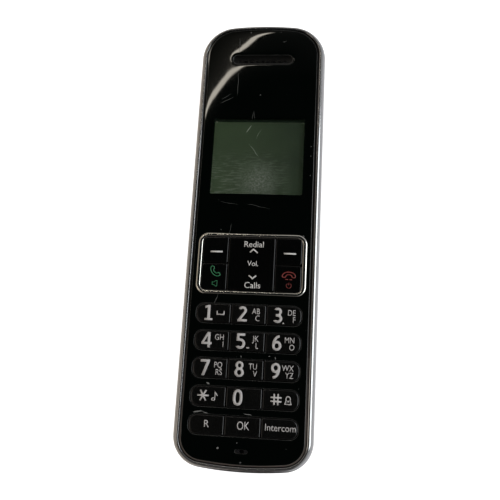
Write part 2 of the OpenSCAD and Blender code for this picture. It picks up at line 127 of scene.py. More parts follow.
def brick(x0, x1, y0, y1, z0, z1):
    """Rectangular block between its two corners."""
    base = np.array([[x1, y0], [x1, y1], [x0, y1], [x0, y0]], float)
    return skin([at(base, z0), at(base, z1)])


def rod(x, y, r, z0, z1, sides=32):
    """Upright cylinder."""
    base = arc(x, y, r, 0, 2 * math.pi, sides + 1)[:-1]
    return skin([at(base, z0), at(base, z1)])


def make_mesh(name, parts):
    """One mesh from parts of (points in mm, faces), each part's faces counted from its own points."""
    starts = np.cumsum([0] + [len(p) for p, _ in parts])
    faces = [[q + s for q in f] for (_, fs), s in zip(parts, starts) for f in fs]
    mesh = bpy.data.meshes.new(name)
    mesh.from_pydata((np.vstack([p for p, _ in parts]) * MM).tolist(), [], faces)
    mesh.update()
    return mesh


def add_piece(name, parts, material, stands_for=(), body="handset", slot=None, sharp=35.0):
    """Puts a piece of the object in the scene, smooth except over edges sharper than sharp degrees. The slot
    argument is not used."""
    piece = put(name, make_mesh(name, parts))
    finish_piece(piece, material, sharp)
    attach(piece, body)
    slot or material.name.partition(".")[0]
    if stands_for:
        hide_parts(*stands_for)
    return piece


def finish_piece(piece, material, sharp=35.0):
    """Material and smooth shading with crisp corners."""
    mesh = piece.data
    mesh.materials.clear()
    mesh.materials.append(material)
    mesh.polygons.foreach_set("material_index", np.zeros(len(mesh.polygons), dtype=np.int32))
    mesh.shade_smooth()
    mesh.set_sharp_from_angle(angle=math.radians(sharp))


def settled(thing):
    """New mesh of an object with its modifiers or its curves worked out."""
    graph = bpy.context.evaluated_depsgraph_get()
    return bpy.data.meshes.new_from_object(thing.evaluated_get(graph))


def carve(piece, parts, operation="DIFFERENCE", sharp=35.0):
    """Takes closed parts out of a piece, adds them to it, or keeps only what lies in them."""
    tool = put("tool", make_mesh("tool", parts))
    cut = piece.modifiers.new("carve", "BOOLEAN")
    cut.object, cut.operation, cut.solver = tool, operation, "EXACT"
    done = settled(piece)
    old, name, material = piece.data, piece.data.name, piece.data.materials[0]
    piece.modifiers.clear()
    piece.data = done
    bpy.data.meshes.remove(old)
    bpy.data.objects.remove(tool)
    done.name = name
    finish_piece(piece, material, sharp)


def even_normals(piece):
    """Large flat faces keep their own normal beside small rounded ones."""
    weigh = piece.modifiers.new("even_normals", "WEIGHTED_NORMAL")
    weigh.keep_sharp = True


def node_group(name, inputs, outputs):
    """Empty shader group as (tree, its input values, its output node). Inputs are numbers by name, or
    vectors where the number is None; outputs are names of numbers."""
    tree = bpy.data.node_groups.new(name, "ShaderNodeTree")
    for label, value in inputs.items():
        kind = "NodeSocketVector" if value is None else "NodeSocketFloat"
        socket = tree.interface.new_socket(label, in_out="INPUT", socket_type=kind)
        if value is not None:
            socket.default_value = value
    for label in outputs:
        tree.interface.new_socket(label, in_out="OUTPUT", socket_type="NodeSocketFloat")
    return tree, tree.nodes.new("NodeGroupInput").outputs, tree.nodes.new("NodeGroupOutput")


def join(tree, node, *sources):
    """Joins or sets each (input, output socket or value) of a node."""
    for key, source in sources:
        if isinstance(source, bpy.types.NodeSocket):
            tree.links.new(source, node.inputs[key])
        else:
            node.inputs[key].default_value = source
    return node


def wire(tree, kind, *sources, **settings):
    """Outputs of a new node, with its properties set and its inputs joined or set."""
    node = tree.nodes.new("ShaderNode" + kind)
    for key, value in settings.items():
        setattr(node, key, value)
    return join(tree, node, *sources).outputs


def calc(tree, operation, *values, clamp=False):
    """Result of a Math node."""
    return wire(tree, "Math", *enumerate(values), operation=operation, use_clamp=clamp)[0]


def chain(tree, operation, first, *rest):
    """One Math operation carried through several values in turn."""
    for value in rest:
        first = calc(tree, operation, first, value)
    return first


def vector(tree, operation, *values):
    """Result of a Vector Math node: a number for a dot product or a distance."""
    keys = (0, "Scale") if operation == "SCALE" else (0, 1)
    result = wire(tree, "VectorMath", *zip(keys, values), operation=operation)
    return result["Value" if operation in ("DOT_PRODUCT", "DISTANCE") else "Vector"]


def here(tree):
    """Place on the piece, in its own coordinates."""
    return wire(tree, "TexCoord")["Object"]


def xyz(tree, place):
    """The three parts of a vector."""
    return wire(tree, "SeparateXYZ", (0, place))


def noise(tree, place, scale, detail=2.0, output=0):
    """Value of a noise texture, or its Color."""
    return wire(tree, "TexNoise", ("Vector", place), ("Scale", scale), ("Detail", detail))[output]


def ramp(tree, value, start, stop):
    """0 where value is start, 1 where it is stop, straight between them and level beyond."""
    return wire(tree, "MapRange", ("Value", value), ("From Min", start), ("From Max", stop))[0]


def blend(tree, share, low, high):
    """Colour from low, at share 0, to high, at share 1; each is a colour or a socket."""
    low, high = (c if isinstance(c, bpy.types.NodeSocket) else (*c, 1) for c in (low, high))
    return wire(tree, "Mix", ("Factor", share), ("A", low), ("B", high), data_type="RGBA")["Result"]


def patches(tree, scale):
    """Slow patches of the moulded grain."""
    return wire(tree, "Group", ("Patch Scale", scale), node_tree=grain)["Patch"]


def bumped(tree, height, strength, depth):
    """Normal of a bump depth mm high."""
    return wire(tree, "Bump", ("Height", height), ("Strength", strength), ("Distance", depth * MM))[0]


# Moulded grain: two sizes of noise, as a height for a bump and as a slow value for colour and gloss.
sizes = {"Scale": 4000.0, "Patch Scale": 60.0}
grain, g_in, g_out = node_group("moulded_grain", sizes, ["Height", "Patch"])
place = here(grain)
fine, slow = noise(grain, place, g_in["Scale"]), noise(grain, place, g_in["Patch Scale"], 3.0)
join(grain, g_out, ("Height", fine), ("Patch", slow))

# Dust: a few cells of a fine Voronoi hold a speck, smaller than the cell and of its own size.
sizes = {"Scale": 500.0, "Share": 0.05, "Size": 0.12}
dust, d_in, d_out = node_group("dust_specks", sizes, ["Mask"])
place = here(dust)
wobble = noise(dust, place, 2500.0, output="Color")
moved = vector(dust, "ADD", place, vector(dust, "MULTIPLY", wobble, (0.25 * MM,) * 3))
cells = wire(dust, "TexVoronoi", ("Vector", moved), ("Scale", d_in["Scale"]))
pick = wire(dust, "SeparateColor", (0, cells["Color"]))
chosen = calc(dust, "LESS_THAN", pick[0], d_in["Share"])
radius = calc(dust, "MULTIPLY", d_in["Size"], calc(dust, "ADD", pick[1], 0.35))
speck = calc(dust, "LESS_THAN", cells["Distance"], radius)
join(dust, d_out, ("Mask", calc(dust, "MULTIPLY", chosen, speck)))


def new_material(name):
    """Material with a Principled shader already joined to its output, as (material, tree, shader)."""
    material = bpy.data.materials.new(name)
    material.use_nodes = True
    return material, material.node_tree, material.node_tree.nodes["Principled BSDF"]


def moulded(name, low, high, rough, spread=0.06, scale=4000.0, depth=0.02, specular=0.5, dusty=0.0):
    """Plastic or rubber: colour between low and high in slow patches, gloss that varies with them, a
    fine moulded grain as bump, and dust where dusty is over 0."""
    material, tree, shader = new_material(name)
    g = wire(tree, "Group", ("Scale", scale), node_tree=grain)
    colour = blend(tree, g["Patch"], low, high)
    gloss = calc(tree, "MULTIPLY_ADD", g["Patch"], 2 * spread, rough - spread)
    if dusty:
        mask = wire(tree, "Group", ("Share", dusty), node_tree=dust)["Mask"]
        colour = blend(tree, mask, colour, (0.32, 0.31, 0.29))
        gloss = calc(tree, "MAXIMUM", gloss, calc(tree, "MULTIPLY", mask, 0.8))
    join(tree, shader, ("Base Color", colour), ("Roughness", gloss), ("Specular IOR Level", specular))
    join(tree, shader, ("Normal", bumped(tree, g["Height"], 1.0, depth)))
    return material


back_plastic = moulded("back_plastic", (0.012, 0.012, 0.013), (0.019, 0.019, 0.021), 0.5, dusty=0.02)

SHELL_TOP, BACK_ROUND_H, BACK_ROUND, SHELL_INSET = 14.5, 13.0, 8.0, 0.35
quarter = np.radians(np.linspace(0, 90, 15))
outer_back = [
    at(body_plan(SHELL_INSET + BACK_ROUND * (1 - math.sin(a))), BACK_ROUND_H * (1 - math.cos(a)))
    for a in quarter
]
FLOOR, INNER, HOLLOW_ROUND = 3.4, SHELL_INSET + 2.4, 6.5
HOLLOW_H = BACK_ROUND_H - FLOOR
inner_back = [
    at(body_plan(INNER + HOLLOW_ROUND * (1 - math.sin(a))), FLOOR + HOLLOW_H * (1 - math.cos(a)))
    for a in quarter[::-2]
]
LIP_IN, LIP_TOP = 2.15, 15.8
lip = [at(body_plan(SHELL_INSET), SHELL_TOP), at(body_plan(LIP_IN), SHELL_TOP)]
lip += [at(body_plan(LIP_IN), LIP_TOP), at(body_plan(INNER), LIP_TOP)]
back_skin = skin(outer_back + lip + inner_back)
rear_shell = add_piece("back_shell", [back_skin], back_plastic, ["rear_shell"])
carve(rear_shell, [brick(-12.8, 12.8, -63.9, -9.1, 2.4, 14.0)], "UNION")

DOOR_T, DOOR_END, DOOR_HALF = 1.6, -6.0, 14.0
GROOVE_LOW, GROOVE_DEEP = 0.95, 0.8


def door_prism(play, low, high, front):
    """The door's cross-section, a plate with a tongue along each side, carried along Y; play grows it
    all round."""
    x, g = DOOR_HALF + play, DOOR_HALF + GROOVE_DEEP + play
    t, b = DOOR_T + play / 2, GROOVE_LOW - play / 2
    section = np.array([[-x, low], [x, low], [x, b], [g, b], [g, t], [-g, t], [-g, b], [-x, b]])
    rings = [np.insert(section, 1, y, axis=1) for y in (front, -HALF_L - high)]
    return skin(rings)


SCREWS = [(15, 51), (-15, 51), (11, -73.2), (-11, -73.2)]
SPEAKER_Y, HOLE_PITCH = 58.0, 2.4
holes = [
    ((i + j / 2) * HOLE_PITCH, SPEAKER_Y + j * HOLE_PITCH * math.sqrt(3) / 2)
    for i in range(-2, 3)
    for j in range(-2, 3)
    if abs(i + j) <= 2
]
carve(
    rear_shell,
    [door_prism(0.1, -1, 1, DOOR_END + 0.2)]
    + [rod(x, y, 0.65, -1, 5, 14) for x, y in holes]
    + [rod(x, y, 2.1, -1 if y > 0 else 2.2, 9) for x, y in SCREWS]
    + [brick(s * 5 - 2.1, s * 5 + 2.1, -83, -76.5, 4.9, 11.1) for s in (-1, 1)],
)
carve(rear_shell, [brick(-11.4, 11.4, -62.5, -10.5, 1, 12.6)])
carve(rear_shell, [rod(x, y, 2.1, 1, 4, 32) for x, y in SCREWS if y < 0])
even_normals(rear_shell)

# ----------------------------------------
# Battery door: the same ABS as the back, moulded separately. Tongues along its sides run in the
# back's grooves, and five shallow scoops across it give the thumb a grip.
door = [skin(outer_back + [at(body_plan(SHELL_INSET), SHELL_TOP)])]
battery_door = add_piece("battery_cover", door, back_plastic, ["battery_door"], "battery_door")
carve(battery_door, [door_prism(0.0, -1, 1, DOOR_END)], "INTERSECT")
SCOOP_FROM_END, SCOOP_PITCH, SCOOP_R, SCOOP_HALF = 7, 1.8, 0.45, 7.0
scoops = []
for k in range(5):
    scoop = arc(DOOR_END - SCOOP_FROM_END - SCOOP_PITCH * k, 0.0, SCOOP_R, 0, 2 * math.pi, 17)[:-1]
    scoops.append(skin([np.insert(scoop, 0, x, axis=1) for x in (-SCOOP_HALF, SCOOP_HALF)]))
carve(battery_door, scoops)
even_normals(battery_door)

# ----------------------------------------
# Silver frame: a ring of ABS in satin silver paint, clamped between the back and the face. The paint
# has faint streaks along its length and a sharp bevel where it meets the face.
silver, tree, shader = new_material("silver_paint")
g = wire(tree, "Group", ("Scale", 9000.0), ("Patch Scale", 45.0), node_tree=grain)
drawn = wire(tree, "Mapping", ("Vector", here(tree)), ("Scale", (1.0, 0.03, 1.0)))[0]
streaks = noise(tree, drawn, 3500.0)
blotch = calc(tree, "MULTIPLY_ADD", streaks, 0.5, calc(tree, "MULTIPLY", g["Patch"], 0.5))
join(
    tree,
    shader,
    ("Base Color", blend(tree, blotch, (0.31, 0.305, 0.30), (0.46, 0.46, 0.465))),
    ("Roughness", calc(tree, "MULTIPLY_ADD", blotch, 0.10, 0.08)),
    ("Normal", bumped(tree, g["Height"], 0.4, 0.002)),
    ("Metallic", 0.96),
)

RIM_W, FRAME_TOP, RIM_RISE = 2.1, 23.5, 2.9
END_REACH = 0.35


def face_plan(inset):
    """Body outline whose ends reach END_REACH further out once inset passes the rim's width, because
    the rim is narrower across the ends than along the sides."""
    return body_plan(inset) * [1, 1 + END_REACH * min(inset / RIM_W, 1) / HALF_L]


edge = np.radians(np.linspace(0, 90, 16))
ROUND_W, BEVEL_AT, BEVEL_DROP = 1.8, 1.88, 0.128
rim_section = (
    [(SHELL_INSET, SHELL_TOP), (0.1, SHELL_TOP + 0.3), (0.0, SHELL_TOP + 0.9)]
    + [(ROUND_W * (1 - math.cos(a)), FRAME_TOP - RIM_RISE * (1 - math.sin(a))) for a in edge]
    + [(BEVEL_AT, FRAME_TOP - 0.02), (RIM_W, FRAME_TOP - BEVEL_DROP), (RIM_W, SHELL_TOP)]
)
rim = [skin([at(face_plan(d), z) for d, z in rim_section], loop=True)]
add_piece("silver_rim", rim, silver, ["silver_frame"])

# ----------------------------------------
# Face plate: polished black acrylic, slightly crowned, with openings for keys, ring, window, slot
# and microphone. It carries dust and hairline scratches.
FACE_TOP = 24.0
SLOT_Y, SLOT_HALF, SLOT_R = 66.1, 9.4, 1.75
CROWN_SAG, CROWN_HALF = 0.69, 20.6
SIDE_DROP, SIDE_FROM, SIDE_FADE = 0.004, 20, 0.5
END_DROP, END_FROM, END_FADE = 0.06, 78.5, 0.87
WIDE_DIP, WIDE_FADE, EDGE_DIP, EDGE_FADE = 0.039, 3, 0.12, 0.35


def face_z(x, y):
    """Height of the face: FACE_TOP less a parabola across it, an exponential roll-off in the last
    millimetre at the sides and the ends, and a dip round the earpiece slot, shallow and wide plus
    steep and narrow, that depends on the distance to the slot's edge."""
    sides = CROWN_SAG * (x / CROWN_HALF) ** 2 + SIDE_DROP * np.exp((np.abs(x) - SIDE_FROM) / SIDE_FADE)
    ends = END_DROP * np.exp((np.abs(y) - END_FROM) / END_FADE)
    gap = np.hypot(np.clip(np.abs(x) - SLOT_HALF, 0, None), y - SLOT_Y) - SLOT_R
    gap = np.clip(gap, 0, None)
    dip = WIDE_DIP * np.exp(-gap / WIDE_FADE) + EDGE_DIP * np.exp(-((gap / EDGE_FADE) ** 2))
    return FACE_TOP - sides - ends - dip


def grid_lines(low, high, coarse, fine):
    """Grid lines from low to high, coarse mm apart, and a quarter of that inside the fine spans."""
    lines = np.arange(low, high + 1e-6, coarse / 4)
    near = np.any([(lines >= a) & (lines <= b) for a, b in fine], axis=0)
    return lines[near | (np.arange(len(lines)) % 4 == 0)]


def sheet_solid(xs, ys, low):
    """Block with a flat underside at low and the face's own height as its top, on lines xs and ys."""
    nx, ny = len(xs), len(ys)
    gx, gy = np.meshgrid(xs, ys)
    top = np.column_stack([gx.ravel(), gy.ravel(), face_z(gx, gy).ravel()])
    index = np.arange(nx * ny).reshape(ny, nx)
    a, b, c, d = index[:-1, :-1], index[:-1, 1:], index[1:, 1:], index[1:, :-1]
    faces = np.stack([a, b, c, d], -1).reshape(-1, 4).tolist()
    border = np.concatenate([index[0, :-1], index[:-1, -1], index[-1, :0:-1], index[:0:-1, 0]])
    foot = top[border] * [1, 1, 0] + [0, 0, low]
    n = len(border)
    under = nx * ny + np.arange(n)
    turn = np.roll(np.arange(n), -1)
    faces += np.stack([under, under[turn], border[turn], border], -1).tolist()
    faces.append(under[::-1].tolist())
    return np.vstack([top, foot]), faces


def laid_on(height, plan, lift=0.0):
    """A plan laid on the surface height(x, y), then lifted."""
    return at(plan, height(plan[:, 0], plan[:, 1]) + lift)


def round_over(plan, round_r, height, steps, outward=1):
    """Rings of a quarter round of radius round_r that ends on the surface height(x, y)."""
    turn = np.radians(np.linspace(0, 90, steps))
    rings = [laid_on(height, plan(outward * round_r * (1 - math.cos(a))), -round_r) for a in turn]
    return [ring + [0, 0, round_r * math.sin(a)] for ring, a in zip(rings, turn)]


def edge_rings(plan, round_r, outward, low, high):
    """Rings of a wall that ends in a quarter round of radius round_r under the face. The round turns
    inwards on a block (outward 1) or opens outwards on a hole (outward -1)."""
    rings = round_over(plan, round_r, face_z, 4, outward)
    return [at(plan(0.0), low), *rings, at(plan(outward * round_r), high)]


def box_plan(w, h, y, r, turn=7):
    """Plan function of a centred rounded rectangle w by h about height y."""
    return lambda inset: soft_plan(-w / 2, w / 2, y - h / 2, y + h / 2, r, r, inset, turn)


# Hairline: distance to a straight segment, seen from above, against a width that fades at its ends.
sizes = {"From": None, "To": None, "Width": 0.12 * MM}
hairline, h_in, h_out = node_group("hairline_scratch", sizes, ["Mask"])


def hair(operation, *values):
    """Vector Math node in the hairline group."""
    return vector(hairline, operation, *values)


flat = hair("MULTIPLY", here(hairline), (1, 1, 0))
sway = hair("MULTIPLY", noise(hairline, flat, 260.0, output="Color"), (0.9 * MM, 0.9 * MM, 0))
arm = hair("SUBTRACT", hair("ADD", flat, sway), h_in["From"])
span = hair("SUBTRACT", h_in["To"], h_in["From"])
dots = hair("DOT_PRODUCT", arm, span), hair("DOT_PRODUCT", span, span)
share = calc(hairline, "DIVIDE", *dots, clamp=True)
away = hair("DISTANCE", arm, hair("SCALE", span, share))
taper = chain(hairline, "MULTIPLY", share, calc(hairline, "SUBTRACT", 1.0, share), 4.0)
reach = calc(hairline, "MULTIPLY", h_in["Width"], taper)
join(hairline, h_out, ("Mask", calc(hairline, "LESS_THAN", away, reach)))


def hairlines(tree, lines):
    """Largest mask of several scratches, each (x0, y0, x1, y1, width) in mm."""
    marks = []
    for x0, y0, x1, y1, width in lines:
        ends = ("From", (x0 * MM, y0 * MM, 0)), ("To", (x1 * MM, y1 * MM, 0))
        marks.append(wire(tree, "Group", *ends, ("Width", width * MM), node_tree=hairline)[0])
    return chain(tree, "MAXIMUM", *marks)


gloss_black, tree, shader = new_material("gloss_black")
patch = patches(tree, 90.0)
where = xyz(tree, here(tree))
# Dust is thicker towards the microphone end.
share = calc(tree, "MULTIPLY_ADD", ramp(tree, where["Y"], -0.012, -0.04), 0.14, 0.06)
grit = wire(tree, "Group", ("Scale", 620.0), ("Share", share), node_tree=dust)[0]
fleck = wire(tree, "Group", ("Scale", 260.0), ("Share", 0.04), ("Size", 0.075), node_tree=dust)[0]
scratches = [
    (-8.4, 69.0, -8.6, 75.5, 0.09),
    (-8.2, 61.2, -8.3, 51.2, 0.08),
    (-1.8, 45.6, -2.5, 41.0, 0.06),
    (-1.8, 45.4, -1.3, 42.0, 0.05),
    (-14.5, 48.5, -9.5, 51.0, 0.07),
    (-14.0, 50.0, -10.5, 52.5, 0.05),
    (7.6, 73.5, 9.4, 74.0, 0.10),
    (-7.2, 2.8, -7.9, -1.6, 0.05),
    (-10.4, -22.5, -12.4, -28.0, 0.10),
    (-12.0, 10.6, -5.5, 9.4, 0.04),
    (-3.0, 9.8, 6.0, 8.2, 0.04),
]
# Lint caught between the key rows.
clumps = [
    (-16.3, -62.4, -12.9, -61.8, 0.24),
    (-13.2, -62.1, -11.0, -62.5, 0.12),
    (-12.4, -52.6, -11.3, -53.2, 0.24),
    (0.5, -62.0, 3.4, -62.4, 0.12),
    (10.0, -43.2, 10.3, -44.0, 0.16),
    (-1.2, -43.2, -1.1, -43.9, 0.12),
]
# Grime lies in the ledge round the face, mostly near the microphone end.
low_down = calc(tree, "LESS_THAN", where["Z"], 23.06 * MM)
grime = calc(tree, "MULTIPLY_ADD", ramp(tree, where["Y"], -0.03, -0.075), 0.92, 0.08)
grime = chain(tree, "MULTIPLY", grime, low_down, calc(tree, "ADD", patch, 0.3))
# Faces that lean are the rounded edges of the openings: their worn polish is duller, and their colour is
# lightened as a painted highlight along the edges.
lean = xyz(tree, wire(tree, "NewGeometry")["Normal"])["Z"]
rounded = calc(tree, "MULTIPLY", ramp(tree, lean, 0.97, 0.8), calc(tree, "GREATER_THAN", lean, 0.1))
faint = (grit, 0.45), (hairlines(tree, scratches), 0.4), (rounded, 0.3)
faint = [calc(tree, "MULTIPLY", mask, strength) for mask, strength in faint]
wear_dust_and_edge_highlight = chain(tree, "MAXIMUM", fleck, hairlines(tree, clumps), *faint)
base = blend(tree, wear_dust_and_edge_highlight, (0.0004, 0.0008, 0.0006), (0.11, 0.11, 0.105))
dull = chain(tree, "MAXIMUM", wear_dust_and_edge_highlight, calc(tree, "MULTIPLY", grime, 0.9))
rough = calc(tree, "MAXIMUM", calc(tree, "MULTIPLY_ADD", patch, 0.03, 0.012), dull)
join(tree, shader, ("Base Color", blend(tree, grime, base, (0.075, 0.058, 0.048))), ("Roughness", rough))

PLATE_LOW, PLATE_INSET, PLATE_EDGE = 22.4, 2.5, 0.14
LEDGE_W, LEDGE_TOP = 0.42, 22.95
ROW_W, ROW_R, GAP = 35.9, 2.5, 0.2
ROWS = [(-29.8 - 9.2 * k, 6.4) for k in range(4)] + [(-66.5, 6.2)]
NAV_W, NAV_H, NAV_Y, NAV_R = 34.7, 18.8, -12.35, 2.2
RING_SIDE, RING_BAR = 1.5, 1.2
WINDOW_W, WINDOW_H, WINDOW_Y = 33.4, 29.2, 27.6
MIC_Y = -74.3


def ring_plan(out):
    """Ring outline, from its inner edge (out 0) to its outer edge (out 1); the sides are wider than
    the bars above and below."""
    w, h = NAV_W + 0.4 + 2 * RING_SIDE * out, NAV_H + 0.4 + 2 * RING_BAR * out
    r = NAV_R + RING_BAR * out
    return soft_plan(-w / 2, w / 2, NAV_Y - h / 2, NAV_Y + h / 2, r, r, 0, 10)


def plate_plan(inset):
    """Outline of the raised face inside the ledge that runs round the plate."""
    return face_plan(PLATE_INSET + LEDGE_W + inset)


UNDER, OVER = 21, 26
ledge = [at(face_plan(PLATE_INSET), UNDER), at(face_plan(PLATE_INSET), LEDGE_TOP)]


def opening(w, h, y, r, round_r):
    """Hole through the plate with a rounded upper edge."""
    return edge_rings(box_plan(w, h, y, r), round_r, -1, UNDER, OVER)


openings = [opening(ROW_W + 2 * GAP, h + 2 * GAP, y, ROW_R + GAP, 0.2) for y, h in ROWS]
openings.append([at(ring_plan(1.03), z) for z in (UNDER, OVER)])
openings.append([at(box_plan(WINDOW_W, WINDOW_H, WINDOW_Y, 0.8)(0), z) for z in (UNDER, OVER)])
openings += [opening(22.4, 3.5, SLOT_Y, SLOT_R - 0.02, 0.12), opening(4.2, 1.3, MIC_Y, 0.6, 0.06)]
across = grid_lines(-22, 22, 1.0, [(-22, -18.5), (-13.5, -8), (8, 13.5), (18.5, 22)])
along = grid_lines(-80, 80, 1.0, [(-80, -75), (61, 71), (75, 80)])
plate = [sheet_solid(across, along, PLATE_LOW)]
face_plate = add_piece("face_plate", plate, gloss_black, ["gloss_plate"])
carve(face_plate, [skin(ledge + edge_rings(plate_plan, PLATE_EDGE, 1, LEDGE_TOP, OVER))], "INTERSECT")
carve(face_plate, [skin(rings) for rings in openings])
even_normals(face_plate)

# ----------------------------------------
# Display: a clear acrylic window glued flush into the face, over a grey-green liquid crystal film on a
# nearly black cell, which shows as a darker band round the film.
window_glass, tree, shader = new_material("clear_window")
height = wire(tree, "Group", ("Scale", 900.0), node_tree=grain)["Height"]
join(
    tree,
    shader,
    ("Normal", bumped(tree, height, 0.3, 0.0004)),
    ("Base Color", (0.94, 0.97, 0.94, 1)),
    ("Roughness", 0.0),
    ("Transmission Weight", 1.0),
    ("IOR", 1.46),
)


def cap_rings(plan, centre, height, steps=(0.88, 0.72, 0.54, 0.36, 0.18)):
    """Rings that shrink a plan towards its centre, each at height(x, y), and a last point there."""
    return [laid_on(height, centre + (plan - centre) * s) for s in steps]


def domed(rings, centre, height):
    """Closed skin whose last ring meets in one point at the centre."""
    points, faces = skin(rings, high=False)
    n, last = len(rings[0]), (len(rings) - 1) * len(rings[0])
    points = np.vstack([points, [[centre[0], centre[1], height(centre[0], centre[1])]]])
    faces += [[last + i, last + (i + 1) % n, len(points) - 1] for i in range(n)]
    return points, faces


def grid_top(plan, centre, low, height, steps):
    """Solid from low up to height(x, y) inside a plan."""
    rings = [at(plan, low), laid_on(height, plan)]
    return domed(rings + cap_rings(plan, centre, height, steps), centre, height)


centre = np.array([0.0, WINDOW_Y])
dense = box_plan(WINDOW_W, WINDOW_H, WINDOW_Y, 0.8, 5)(0)
pane = [grid_top(dense, centre, PLATE_LOW, face_z, np.linspace(0.95, 0.05, 19))]
display_window = add_piece("window", pane, window_glass, ["display_window"])
display_window.visible_shadow = display_window.visible_diffuse = False

CELL_TOP = 22.1
cell_border = moulded("cell_border", (0.003, 0.006, 0.003), (0.005, 0.009, 0.005), 0.25)
cell_film, tree, shader = new_material("cell_film")
place = here(tree)
way = xyz(tree, place)
patch = patches(tree, 70.0)
# Painted shade: lighter towards the left, darker towards the right.
slope = ramp(tree, way["X"], 0.013, -0.018)
tone = calc(tree, "MULTIPLY_ADD", slope, 0.55, calc(tree, "MULTIPLY", patch, 0.5))
film = blend(tree, tone, (0.001, 0.006, 0.001), (0.018, 0.034, 0.011))
# Rubbed in fine, nearly level lines over the lower two thirds, and in a mottled round patch.
turn = wire(tree, "Mapping", ("Vector", place), ("Rotation", (0, 0, 0.09)), ("Scale", (0.1, 1.0, 0.0)))[0]
fine = ramp(tree, noise(tree, turn, 2400.0), 0.5, 0.57)
some = ramp(tree, noise(tree, place, 230.0), 0.34, 0.5)
left = calc(tree, "MULTIPLY", slope, 5.0, clamp=True)
rubbed = chain(tree, "MULTIPLY", fine, some, ramp(tree, way["Y"], 0.031, 0.024), left, 0.11)
smudge = ramp(tree, vector(tree, "DISTANCE", place, (0.0005, 0.0185, CELL_TOP * MM)), 0.0085, 0.002)
mottle = ramp(tree, noise(tree, place, 1500.0, 1.0), 0.35, 0.7)
haze = calc(tree, "MULTIPLY", calc(tree, "MULTIPLY_ADD", mottle, 0.20, 0.04), smudge)
lines = [(-2.5, 40.6, -4.1, 37.2, 0.16), (-2.9, 33.0, 0.8, 28.0, 0.07), (1.4, 39.0, -0.6, 35.0, 0.05)]
marks = chain(tree, "MAXIMUM", rubbed, calc(tree, "MULTIPLY", hairlines(tree, lines), 0.6), haze)
join(tree, shader, ("Base Color", blend(tree, marks, film, (0.30, 0.32, 0.28))), ("Roughness", 0.5))
cell = [brick(-18, 18, 11.1, 44.1, 20.2, CELL_TOP)]
add_piece("display_cell", cell, cell_border, ["lcd_glass"], slot="lcd_glass")
view_area = soft_plan(-16.47, 16.47, 13.3, 41.06, 0.2, 0.2, 0, 3)
film = [skin([at(view_area, CELL_TOP), at(view_area, CELL_TOP + 0.05)])]
add_piece("display_film", film, cell_film, slot="lcd_glass")

# ----------------------------------------
# Earpiece: a satin black strip sunk in the slot, with one ridge along its upper part and below it a
# row of nine small openings that let the sound through.
grille_plastic = moulded(
    "grille_plastic", (0.0012, 0.0013, 0.0012), (0.0024, 0.0024, 0.0022), 0.3, specular=0.2
)
slot_floor = box_plan(22.3, 3.4, SLOT_Y, 1.68)
strip = [skin([at(slot_floor(0), PLATE_LOW), at(slot_floor(0), 23.1), at(slot_floor(0.45), 22.85)])]
ridge_steps = [(0.0, 22.8), (0.0, 23.05), (0.06, 23.2), (0.16, 23.28), (0.3, 23.3)]
ridge = [at(soft_plan(-9.6, 9.6, SLOT_Y + 0.25, SLOT_Y + 1.15, 0.44, 0.44, d, 6), z) for d, z in ridge_steps]
strip = add_piece("earpiece_strip", strip + [skin(ridge)], grille_plastic, ["earpiece_grille"])
VENT_HALF, VENT_PITCH = 0.75, 2.1
vents = []
for x in np.arange(-4, 5) * VENT_PITCH:
    vent = soft_plan(x - VENT_HALF, x + VENT_HALF, SLOT_Y - 0.95, SLOT_Y - 0.35, 0.3, 0.3, 0, 4)
    vents.append(skin([at(vent, z) for z in (22, 24)]))
carve(strip, vents)

# ----------------------------------------
# Bright ring round the call keys: one rounded bead of chromed plastic, pressed into the face.
chrome, tree, shader = new_material("bright_ring")
patch = patches(tree, 150.0)
join(
    tree,
    shader,
    ("Base Color", blend(tree, patch, (0.64, 0.62, 0.57), (0.82, 0.80, 0.74))),
    ("Roughness", calc(tree, "MULTIPLY_ADD", patch, 0.2, 0.04)),
    ("Metallic", 1.0),
)

rings = [at(ring_plan(1.0), PLATE_LOW)]
for out in (1 + np.cos(np.linspace(0, math.pi, 15))) / 2:
    rise = 0.04 + 0.33 * math.sqrt(max(1 - (2 * out - 1) ** 2, 0))
    rings.append(laid_on(face_z, ring_plan(out), rise))
rings.append(at(ring_plan(0.0), PLATE_LOW))
ring = [skin(rings, loop=True)]
add_piece("call_key_ring", ring, chrome, ["nav_ring"], sharp=60)

# ----------------------------------------
# Keys: each is one hard cap with a rounded edge, a flange that the housing holds down, and a stem
# over its snap dome. All are moulded in black with a semi-gloss top.
FLANGE_LOW, FLANGE_TOP, FLANGE_OUT, STEM_LOW, STEM_R = 20.0, 20.8, 0.7, 19.0, 1.3
KEY_PROUD, KEY_GAP = 0.34, 0.3


def key_top(x, y):
    """Height of the key tops: the face's own crown, a fixed step above it."""
    return face_z(x, y) + KEY_PROUD


def key_parts(x0, x1, y0, y1, left, right, flange, stems, round_r=0.35, pillow=0.08, stem_low=STEM_LOW):
    """Cap with a quarter round of radius round_r and a top that rises by pillow to its middle, a
    flange box and the stems."""
    centre, half = np.array([x0 + x1, y0 + y1]) / 2, np.array([x1 - x0, y1 - y0]) / 2

    def height(x, y):
        far = np.maximum(np.abs((x - centre[0]) / half[0]), np.abs((y - centre[1]) / half[1]))
        return key_top(x, y) - pillow * far**2

    def plan(inset):
        return soft_plan(x0, x1, y0, y1, left, right, inset, 6)

    rings = [at(plan(0), FLANGE_LOW), *round_over(plan, round_r, height, 5)]
    rings += cap_rings(plan(round_r), centre, height)
    parts = [domed(rings, centre, height)]
    base = soft_plan(*flange, 0.4, 0.4, 0, 3)
    parts.append(skin([at(base, FLANGE_LOW), at(base, FLANGE_TOP)]))
    parts += [rod(x, y, STEM_R, stem_low, FLANGE_LOW + 0.4, 20) for x, y in stems]
    return parts


